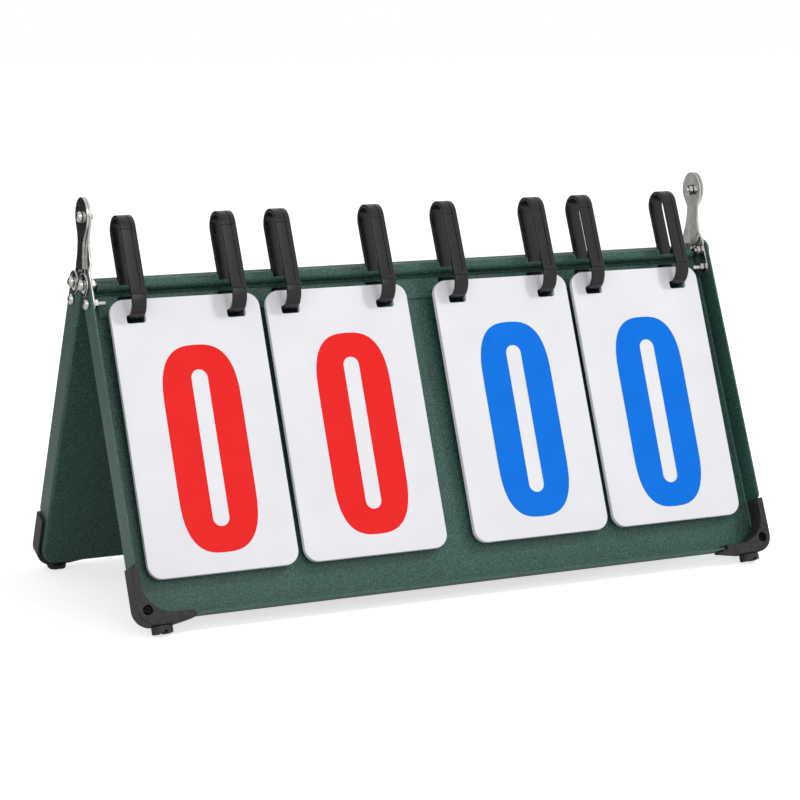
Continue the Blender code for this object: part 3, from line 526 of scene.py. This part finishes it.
def ringWork(low, high):
    # Each station is (depth, height, extra half width, extra thickness in front, groove).
    front = low.y + ringStrip["thickness"] / 2
    rear = front + ringStrip["gap"]
    loopTop = high.z - ringStrip["thickness"] / 2 - ringStrip["gap"] / 2
    stations = legStations(front, rear, loopTop) + kneeStations(front, high.y)
    line = [Vector(station[:2]) for station in stations]
    work = bmesh.new()
    rows = []
    for index, here in enumerate(line):
        before = line[max(index - 1, 0)]
        after = line[min(index + 1, len(line) - 1)]
        first = (here - before).normalized() if index else (after - here).normalized()
        second = (after - here).normalized() if index < len(line) - 1 else first
        along = (first + second).normalized()
        out = Vector((along.y, -along.x)) / max(along.dot(first), 0.5)
        row = []
        for across, away in ringSection(*stations[index][2:]):
            spot = here + out * away
            row.append(work.verts.new((across, spot.x, spot.y)))
        rows.append(row)
    for near, far in zip(rows, rows[1:]):
        bridge(work, near, far)
    work.faces.new(rows[0])
    work.faces.new(rows[-1])
    return work


for number in range(1, 9):
    low, high = traySpan(f"card_ring_{number}")
    spot = trays["front"] @ Matrix.Translation(((low.x + high.x) / 2 * mm, 0, 0))
    mesh = placed(meshOf(ringWork(low, high), smooth["strip"]), spot)
    addPiece(f"cardRing{number}", mesh, "moulded_nylon", "front_frame", [f"card_ring_{number}"])
print("rings swept: 8")


# Cards: PVC sheets with two slots, cut as curves so that edges stay crisp.
card = {
    "width": 88.2, "height": 154.0, "thick": 0.5, "corner": 8.0, "edge": 0.07,
    "topDepth": 4.0, "footDepth": 8.45,
}
slotSize = {"long": 11.0, "tall": 4.8, "corner": 1.4, "inset": 14.5, "below": 8.6}

# The cards behind are thin and lie close, leaving dark air between them and the tray.
stackFan = {
    "sheets": 9, "thick": 0.23, "edge": 0.03, "stray": 0.12,
    "frontTop": 4.6, "backTop": 6.6, "frontFoot": 9.0, "backFoot": 11.0,
}


def cardSpot(number):
    # A card's own frame: the origin is on the tray's frame, level with the middle of its top edge.
    low, high = traySpan(f"front_card_{number}")
    return trays["front"] @ Matrix.Translation(((low.x + high.x) / 2 * mm, 0, -cardTop * mm))


def closedCurve(curve, points):
    spline = curve.splines.new("POLY")
    spline.points.add(len(points) - 1)
    for point, (x, y) in zip(spline.points, points):
        point.co = (x, y, 0, 1)
    spline.use_cyclic_u = True


def roundedBox(centreX, top, wide, tall, radius, steps):
    half = wide / 2
    points = []
    for x, y, start in ((half, 0, 90), (half, -tall, 0), (-half, -tall, -90), (-half, 0, -180)):
        inX = centreX + x - math.copysign(radius, x)
        inY = top + y + (radius if y < 0 else -radius)
        points += arcPoints((inX, inY), radius, start, start - 90, steps)
    return points


def sheetWork(outlines, thick, edge):
    # A flat plate, drawn across X and Z with its thickness along Y, edges rounded by edge.
    curve = bpy.data.curves.new("outline", "CURVE")
    curve.dimensions = "2D"
    curve.fill_mode = "BOTH"
    curve.extrude = thick / 2 - edge
    curve.bevel_depth = edge
    curve.bevel_resolution = 1
    curve.offset = -edge
    for outline in outlines:
        closedCurve(curve, outline)
    holder = bpy.data.objects.new("outline", curve)
    scene.collection.objects.link(holder)
    work = finishedWork(holder)
    bpy.data.objects.remove(holder)
    bpy.data.curves.remove(curve)
    bmesh.ops.remove_doubles(work, verts=work.verts, dist=0.001)
    bmesh.ops.rotate(work, matrix=Matrix.Rotation(math.radians(90), 3, "X"), verts=work.verts)
    return work


def leanTo(work, topDepth, footDepth):
    for vertex in work.verts:
        share = -vertex.co.z / card["height"]
        vertex.co.y += topDepth + (footDepth - topDepth) * share


def cardWork(thick, edge, topDepth, footDepth):
    centre = card["width"] / 2 - slotSize["inset"]
    outlines = [roundedBox(0, 0, card["width"], card["height"], card["corner"], 10)]
    for side in (-1, 1):
        size = (slotSize["long"], slotSize["tall"], slotSize["corner"])
        outlines.append(roundedBox(side * centre, -slotSize["below"], *size, 5))
    work = sheetWork(outlines, thick, edge)
    leanTo(work, topDepth, footDepth)
    return work


def stackWork():
    # Loose sheets, each a little out of line with the next.
    fan = stackFan
    stack = bmesh.new()
    for sheet in range(fan["sheets"]):
        share = sheet / (fan["sheets"] - 1)
        top = fan["frontTop"] + (fan["backTop"] - fan["frontTop"]) * share
        foot = fan["frontFoot"] + (fan["backFoot"] - fan["frontFoot"]) * share
        work = cardWork(fan["thick"], fan["edge"], top, foot)
        stray = fan["stray"]
        shift = Vector((random.uniform(-stray, stray), 0, random.uniform(-stray, 0)))
        bmesh.ops.translate(work, vec=shift, verts=work.verts)
        mesh = bpy.data.meshes.new("sheet")
        work.to_mesh(mesh)
        work.free()
        stack.from_mesh(mesh)
        bpy.data.meshes.remove(mesh)
    return stack


random.seed(11)
for number in range(1, 5):
    work = cardWork(card["thick"], card["edge"], card["topDepth"], card["footDepth"])
    mesh = placed(meshOf(work, smooth["sheet"]), cardSpot(number))
    addPiece(f"numberCard{number}", mesh, "pvc_sheet", f"card_{number}", [f"front_card_{number}"])
    mesh = placed(meshOf(stackWork(), smooth["sheet"]), cardSpot(number))
    addPiece(f"cardStack{number}", mesh, "pvc_sheet", "front_frame", [f"card_stack_{number}"])
print("cards laid: 4 fronts and 4 stacks")


# Printed noughts: condensed and heavy, squarish ellipses with a long round-ended counter. Each has
# its ink and how far it stands to the right of the card's middle and above the common height.
nought = {
    "wide": 45.4, "top": 27.2, "foot": 143.0, "curve": 34.0, "power": 2.75,
    "counterWide": 9.6, "counterTop": 41.2, "counterFoot": 128.6, "film": 0.05, "filmEdge": 0.012,
}
noughtPrints = [
    ("printedRedInk", 1.9, -0.4),
    ("printedRedInk", 2.1, 0.4),
    ("printedBlueInk", 0.9, 0.2),
    ("printedBlueInk", -0.2, -2.4),
]


def noughtOutlines():
    half = nought["wide"] / 2
    reach = nought["curve"]
    outer = []
    steps = 24
    for middle, sign in ((-nought["top"] - reach, 1), (-nought["foot"] + reach, -1)):
        for step in range(steps + 1):
            angle = math.pi * step / steps
            x = math.copysign(abs(math.cos(angle)) ** (2 / nought["power"]), math.cos(angle)) * half
            y = abs(math.sin(angle)) ** (2 / nought["power"]) * reach
            outer.append((sign * x, middle + sign * y))
    bend = nought["counterWide"] / 2
    inner = arcPoints((0, -nought["counterTop"] - bend), bend, 0, 180, 14)
    inner += arcPoints((0, -nought["counterFoot"] + bend), bend, 180, 360, 14)
    return [outer, inner]


for number, (ink, across, up) in enumerate(noughtPrints, start=1):
    work = sheetWork(noughtOutlines(), nought["film"], nought["filmEdge"])
    bmesh.ops.translate(work, vec=Vector((across, 0, up)), verts=work.verts)
    leanTo(work, card["topDepth"], card["footDepth"])
    lift = (card["thick"] + nought["film"]) / 2
    bmesh.ops.translate(work, vec=Vector((0, -lift, 0)), verts=work.verts)
    mesh = placed(meshOf(work, smooth["sheet"]), cardSpot(number))
    addPiece(f"printedNought{number}", mesh, ink, f"card_{number}")
print("noughts printed: 4")


# Bolts, nuts and washers: turned and threaded, along the line of the CAD's own.
boltSize = {
    "shank": 1.45, "pitch": 0.6, "threadDeep": 0.17, "loopsPerPitch": 4, "head": 3.1, "headTall": 2.6,
    "rim": 0.5, "ease": 0.1, "domeEnd": 80, "crossLong": 3.2, "crossWide": 0.75, "crossDeep": 1.1,
}
nutSize = {"flats": 5.5, "crown": 2.6, "crownSlope": 0.6, "bore": 1.55}
washerSize = {
    "bore": 1.75, "ease": 0.1, "rimTall": 0.6, "lipTall": 0.75, "lipIn": 0.15, "valleyTall": 0.62,
    "valleyIn": 0.6, "dish": 2.2, "hubIn": 1.0,
}


def boltWork(low, high):
    # Head outwards along +X, thread inwards. The seat is where the head's flat underside is.
    size = boltSize
    seat = high - size["headTall"]
    pitch = size["pitch"]
    rows = []
    steps = int((seat - low) / pitch * size["loopsPerPitch"])
    for step in range(steps + 1):
        along = low + (seat - low) * step / steps

        def threaded(angle, along=along):
            share = (along / pitch + angle / (2 * math.pi)) % 1
            return size["shank"] - size["threadDeep"] * abs(2 * share - 1)

        rows.append((along, threaded))
    rows += [(seat, size["head"] - size["ease"]), (seat + size["ease"], size["head"])]
    dome = size["headTall"] - size["rim"]
    for x, y in arcPoints((0, 0), 1.0, 0, size["domeEnd"], 6):
        rows.append((seat + size["rim"] + dome * y, size["head"] * x))
    cutters = []
    long, wide = size["crossLong"] / 2, size["crossWide"] / 2
    for y, z in ((long, wide), (wide, long)):
        cutters.append(boxWork((high - size["crossDeep"], -y, -z), (high + past, y, z)))
    return cutWork(turnedWork(rows), cutters)


def nutWork(low, high):
    # A hexagon with its corners turned off at both faces, and a bore for the bolt.
    crown, bore = nutSize["crown"], nutSize["bore"]

    def hexagon(angle):
        return nutSize["flats"] / 2 / math.cos((angle + math.pi / 6) % (math.pi / 3) - math.pi / 6)

    def corner(angle):
        return max(hexagon(angle) - crown, 0) * nutSize["crownSlope"]

    rows = [(low, bore), (low, crown)]
    rows += [(lambda angle: low + corner(angle), hexagon), (lambda angle: high - corner(angle), hexagon)]
    rows += [(high, crown), (high, bore)]
    return turnedWork(rows, 48, hollow=True)


def washerWork(low, high, radius):
    # A raised lip near the rim, then a slope up to the hub that the bolt's head sits on.
    size = washerSize
    rows = [(low, size["bore"]), (low, radius - size["ease"]), (low + size["ease"], radius)]
    rows += [(low + size["rimTall"], radius), (low + size["lipTall"], radius - size["lipIn"])]
    rows += [(low + size["valleyTall"], radius - size["valleyIn"])]
    rows += [(low + size["lipTall"], radius - size["dish"]), (high, radius - size["dish"] - size["hubIn"])]
    rows.append((high, size["bore"]))
    return turnedWork(rows, 48, hollow=True)


def addFastener(node):
    tray = "rear" if node.startswith("rear") else "front"
    low, high = traySpan(node, tray)
    side = 1 if low.x > 0 else -1
    inner, outer = sorted((abs(low.x), abs(high.x)))
    if "bolt" in node:
        work = boltWork(inner, outer)
    elif "nut" in node:
        work = nutWork(inner, outer)
    else:
        work = washerWork(inner, outer, (high.z - low.z) / 2)
    middle = Vector((0, (low.y + high.y) / 2 * mm, (low.z + high.z) / 2 * mm))
    spot = trays[tray] @ Matrix.Translation(middle)
    mesh = placed(meshOf(mirrorAcross(work, side), smooth["turned"]), spot)
    addPiece(pieceName(node), mesh, "zinc_plated_steel", f"{tray}_frame", [node])


fasteners = [name for name in nodes if any(kind in name for kind in ("bolt", "nut", "washer"))]
for name in sorted(fasteners):
    addFastener(name)
print("fasteners turned:", len(fasteners))


# Corner guards: a moulded shell over the tray's corner, with a thick sole that thins towards the end
# of its arm. Round feet stand under the soles.
cornerGuard = {
    "gap": 0.3, "wall": 1.6, "front": 3.0, "inner": 1.0, "depth": 10.6, "up": 28.5, "along": 30.0,
    "toe": {"left": 0.6, "right": 3.2}, "toeWall": 1.1, "cove": 17.0, "corner": 10.0, "sole": 3.4,
    "edge": 1.1, "round": 0.35, "screwSide": 4.0, "screwRise": 4.8, "recess": 2.8, "recessDeep": 2.2,
    "screwBore": 1.4, "sheet": 1.0, "trayCorner": 8.5,
}
roundFoot = {
    "side": 12.4, "set": 6.4, "radius": 5.8, "rim": 0.5, "rimEase": 0.3, "topEase": 0.2, "guardGap": 0.5,
    "stud": 2.0, "studTall": 2.5, "slot": 1.8, "slotDeep": 1.3, "round": 0.25,
}
panelLow, panelHigh = traySpan("front_panel")
trayHalf = panelHigh.x
trayFoot = -panelLow.z
soleEnd = trayHalf - roundFoot["side"] - roundFoot["radius"] - roundFoot["guardGap"]
guardBase = trayFoot + cornerGuard["gap"] + cornerGuard["sole"]


def guardBody(toeLong, cove, top, end):
    # The guard before it is hollowed, with its outer front edge rounded.
    shell = cornerGuard
    half = trayHalf + shell["gap"] + shell["wall"]
    lip = -(trayFoot + shell["gap"])
    centre = (half - shell["corner"], -guardBase + shell["corner"])
    outline = [(half, top)] + arcPoints(centre, shell["corner"], 0, -90, 16)
    outline += [(soleEnd, -guardBase), (end - toeLong, lip - shell["toeWall"]), (end - toeLong, lip)]
    outline += [(end, lip), (end, cove[1] - shell["cove"])]
    outline += arcPoints(cove, shell["cove"], -90, 0, 28)
    outline.append((cove[0] + shell["cove"], top))
    body = prismWork(outline, "Y", shell["gap"], shell["gap"] + shell["depth"])
    near = 0.001
    rounded = []
    for edge in body.edges:
        ends = [vertex.co for vertex in edge.verts]
        outside = all(point.x > half - near or point.z < centre[1] + near for point in ends)
        low = all(point.z < lip - near or point.x > centre[0] for point in ends)
        if outside and low and all(point.y < shell["gap"] + near for point in ends):
            rounded.append(edge)
    bmesh.ops.bevel(body, geom=rounded, offset=shell["edge"], segments=4, profile=0.5, affect="EDGES")
    return body


def guardWork(toeLong):
    # The right-hand guard of a tray, drawn in the tray's frame.
    shell = cornerGuard
    end = trayHalf - shell["along"]
    top = -(trayFoot - shell["up"])
    reach = shell["sheet"] + 2 * shell["gap"] + shell["inner"] + shell["cove"]
    cove = (trayHalf - reach + shell["gap"], -(trayFoot - reach))
    wider = shell["cove"] + shell["inner"]
    corner = (trayHalf - shell["trayCorner"], -(trayFoot - shell["trayCorner"]))
    inside = [(trayHalf + shell["gap"], top + beyond)]
    inside += arcPoints(corner, shell["trayCorner"] + shell["gap"], 0, -90, 16)
    inside += [(end - 2 * beyond, -(trayFoot + shell["gap"])), (end - 2 * beyond, cove[1] - wider)]
    inside += arcPoints(cove, wider, -90, 0, 28)
    inside.append((cove[0] + wider, top + beyond))
    screw = (trayHalf - shell["screwSide"], -(trayFoot - shell["screwRise"]))
    cutters = [
        prismWork(inside, "Y", shell["gap"] + shell["front"], shell["depth"] + beyond),
        roundWork("Y", screw, shell["recess"], -past, shell["gap"] + shell["recessDeep"]),
        roundWork("Y", screw, shell["screwBore"], -past, shell["front"] + past, 24),
    ]
    return cutWork(guardBody(toeLong, cove, top, end), cutters)


def footWork(end):
    # A round foot with a cross cut in its end.
    size = roundFoot
    radius, rim, ease = size["radius"], size["rim"], size["rimEase"]
    top = -(guardBase + cornerGuard["gap"])
    rows = [(end, radius - rim), (end + rim * ease, radius - rim * ease), (end + rim, radius)]
    rows += [(top - size["topEase"], radius), (top, radius - size["topEase"])]
    rows += [(top, size["stud"]), (top + size["studTall"], size["stud"])]
    body = turnedWork(rows, 40)
    bmesh.ops.rotate(body, matrix=Matrix.Rotation(math.radians(-90), 3, "Y"), verts=body.verts)
    bmesh.ops.translate(body, vec=Vector((0, size["set"], 0)), verts=body.verts)
    half = size["slot"] / 2
    cutters = []
    for x, y in ((2 * beyond, half), (half, 2 * beyond)):
        corner = (-x, size["set"] - y, end - beyond)
        opposite = (x, size["set"] + y, end + size["slotDeep"])
        cutters.append(boxWork(corner, opposite))
    work = cutWork(body, cutters)
    bmesh.ops.translate(work, vec=Vector((trayHalf - size["side"], 0, 0)), verts=work.verts)
    return work


def trimToFloor(mesh):
    # Cuts off what lies under the floor, so that the foot stands flat on it. It is in metres by now.
    work = bmesh.new()
    work.from_mesh(mesh)
    everything = [*work.verts, *work.edges, *work.faces]
    plane = {"plane_co": (0, 0, 0), "plane_no": (0, 0, -1), "clear_outer": True}
    cut = bmesh.ops.bisect_plane(work, geom=everything, dist=1e-7, **plane)
    rim = [item for item in cut["geom_cut"] if isinstance(item, bmesh.types.BMEdge)]
    if rim:
        bmesh.ops.holes_fill(work, edges=rim, sides=0)
    return work


def addGuard(tray, sideName, side):
    node = f"{tray}_corner_guard_{sideName}"
    toeLong = cornerGuard["toe"]["right" if side > 0 else "left"]
    work = mirrorAcross(guardWork(toeLong), side)
    mesh = placed(meshOf(work, smooth["moulded"]), trays[tray])
    guard = addPiece(pieceName(node), mesh, "moulded_plastic", f"{tray}_frame", [node])
    softenEdges(guard, cornerGuard["round"])


def addFoot(tray, sideName, side):
    node = f"{tray}_foot_{sideName}"
    end = traySpan(f"{tray}_foot_left", tray)[0].z
    mesh = placed(meshOf(mirrorAcross(footWork(end), side), smooth["moulded"]), trays[tray])
    mesh = meshOf(trimToFloor(mesh), smooth["moulded"])
    foot = addPiece(pieceName(node), mesh, "rubber", f"{tray}_frame", [node])
    softenEdges(foot, roundFoot["round"])


sides = {"front": {"left": -1, "right": 1}, "rear": {"left": 1, "right": -1}}
for tray in trays:
    for sideName, side in sides[tray].items():
        addGuard(tray, sideName, side)
        addFoot(tray, sideName, side)
print("corner guards and feet moulded: 4 and 4")


# CAD pieces that stay: a finish each, and softened edges.
edgeRounds = {"panel": 0.25, "strap": 0.3, "screw": 0.15}
for subpart in frame["record"]["subparts"]:
    node = nodes[subpart["node"]]
    if node.hide_render:
        continue
    finish = "blackenedSteel" if "screw" in node.name else subpart["material_slot"]
    node.data.materials.clear()
    node.data.materials.append(materials[finish])
    kind = next(key for key in edgeRounds if key in node.name)
    # Corners are joined and flat faces made whole first, so that the soft edges come out even.
    weld = node.modifiers.new("weld", "WELD")
    weld.merge_threshold = 0.01 * mm
    flat = node.modifiers.new("flat", "DECIMATE")
    flat.decimate_type = "DISSOLVE"
    flat.angle_limit = math.radians(0.5)
    softenEdges(node, edgeRounds[kind])
print("CAD pieces finished")


# Floor, boards, sky and lamps. Each board and lamp is placed in metres, round the object's middle.
studio = {
    "floor": "e6e6e6", "floorWide": 14, "floorGlow": 0.65, "floorGleam": 0.18, "skyLevel": 0.42,
    "boards": "060606", "middle": (0, 0, 0.11),
}
boards = {
    "blackCard": {"size": (0.55, 0.9), "at": (-0.57, 0.6, 0.2), "facing": (-0.2, 0.0, 0.2)},
    "highCard": {"size": (0.6, 0.35), "at": (-0.32, 0.85, 0.5), "facing": (0.2, 0.0, 0.25)},
}
lamps = {
    "keyLamp": {"watts": 58, "size": 0.56, "at": (1.9, -1.2, 2.7)},
    "sheenLamp": {"watts": 4.4, "size": 1.15, "at": (-0.1, -1.4, 0.9)},
    "fillLamp": {"watts": 6, "size": 1.6, "at": (-1.6, -1.2, 1.0)},
}


def turnTo(item, location, target, axis):
    # Puts an object at a place, with its own axis pointing at the target.
    item.location = location
    item.rotation_euler = (Vector(target) - Vector(location)).to_track_quat(axis, "Y").to_euler()


def stageSheet(name, width, height, location, target, material):
    # A square a metre wide, drawn out to its width and height.
    work = bmesh.new()
    bmesh.ops.create_grid(work, x_segments=1, y_segments=1, size=0.5)
    bmesh.ops.scale(work, vec=Vector((width, height, 1)), verts=work.verts)
    sheet = bpy.data.objects.new(name, meshOf(work, smooth["moulded"]))
    scene.collection.objects.link(sheet)
    turnTo(sheet, location, target, "Z")
    sheet.data.materials.append(material)
    return sheet


def addFloor():
    # The floor glows for the camera, and less so for reflections, so that it reads white out to the
    # horizon, lights nothing, and still takes the object's shadow.
    pale = linearColour(studio["floor"])
    settings = {"Roughness": 0.9, "Base Color": pale, "Emission Color": (1, 1, 1, 1)}
    material, tree, shader = newMaterial("paleFloor", settings)
    rays = addNode(tree, "ShaderNodeLightPath").outputs
    seen, mirrored = rays["Is Camera Ray"], rays["Is Glossy Ray"]
    glow = addNode(tree, "ShaderNodeMapRange", {"To Max": studio["floorGlow"]}, {"Value": seen})
    gleam = addNode(tree, "ShaderNodeMapRange", {"To Max": studio["floorGleam"]}, {"Value": mirrored})
    links = {0: glow.outputs["Result"], 1: gleam.outputs["Result"]}
    both = addNode(tree, "ShaderNodeMath", {"operation": "ADD"}, links)
    tree.links.new(both.outputs[0], shader.inputs["Emission Strength"])
    wide = studio["floorWide"]
    stageSheet("studioFloor", wide, wide, (0, 0, 0), (0, 0, 1), material)


def addBoards():
    # Black boards behind the object's left end, seen only in reflections, as a studio has to give
    # bright steel its depth.
    settings = {"Roughness": 0.9, "Base Color": linearColour(studio["boards"])}
    material, tree, shader = newMaterial("blackCard", settings)
    for name, board in boards.items():
        sheet = stageSheet(name, *board["size"], board["at"], board["facing"], material)
        sheet.visible_camera = False
        sheet.visible_diffuse = False
        sheet.visible_shadow = False


def addSky():
    # Plain white where it is seen directly or in reflections, and a softer light on the object.
    world = bpy.data.worlds.new("studioWorld")
    scene.world = world
    world.use_nodes = True
    tree = world.node_tree
    rays = addNode(tree, "ShaderNodeLightPath").outputs
    seen = rays["Is Camera Ray"]
    for kind in ("Is Glossy Ray", "Is Transmission Ray"):
        links = {0: seen, 1: rays[kind]}
        seen = addNode(tree, "ShaderNodeMath", {"operation": "MAXIMUM"}, links).outputs[0]
    background = tree.nodes["Background"]
    background.inputs["Color"].default_value = (1, 1, 1, 1)
    level = addNode(tree, "ShaderNodeMapRange", {"To Min": studio["skyLevel"]}, {"Value": seen})
    tree.links.new(level.outputs["Result"], background.inputs["Strength"])


def addLamp(name, lamp):
    data = bpy.data.lights.new(name, "AREA")
    data.energy = lamp["watts"]
    data.shape = "DISK"
    data.size = lamp["size"]
    item = bpy.data.objects.new(name, data)
    turnTo(item, lamp["at"], studio["middle"], "-Z")
    scene.collection.objects.link(item)
    return item


addFloor()
addBoards()
addSky()
placedLamps = {name: addLamp(name, lamp) for name, lamp in lamps.items()}
# The key draws the shadows and is kept out of reflections, where it would burn the bright metal out.
placedLamps["keyLamp"].visible_glossy = False
print("studio set")


# Camera, at the photograph's viewing angle. Its place is in millimetres and its height is taken from
# the hinge axis.
photoCamera = {
    "lens": 113.0, "sensor": 36.0, "x": -661.36, "y": -1290.85, "above": 137.98,
    "yaw": 26.994, "pitch": 9.934, "roll": 0.243,
}


def setCamera():
    data = bpy.data.cameras.new("photoCamera")
    data.lens = photoCamera["lens"]
    data.sensor_width = photoCamera["sensor"]
    camera = bpy.data.objects.new("photoCamera", data)
    turn = Matrix.Rotation(-math.radians(photoCamera["yaw"]), 4, "Z")
    tip = Matrix.Rotation(math.radians(90 - photoCamera["pitch"]), 4, "X")
    roll = Matrix.Rotation(math.radians(photoCamera["roll"]), 4, "Z")
    spot = (photoCamera["x"] * mm, photoCamera["y"] * mm, hingeHeight + photoCamera["above"] * mm)
    camera.matrix_world = Matrix.Translation(spot) @ turn @ tip @ roll
    scene.collection.objects.link(camera)
    scene.camera = camera


setCamera()
scene.view_settings.view_transform = "Standard"
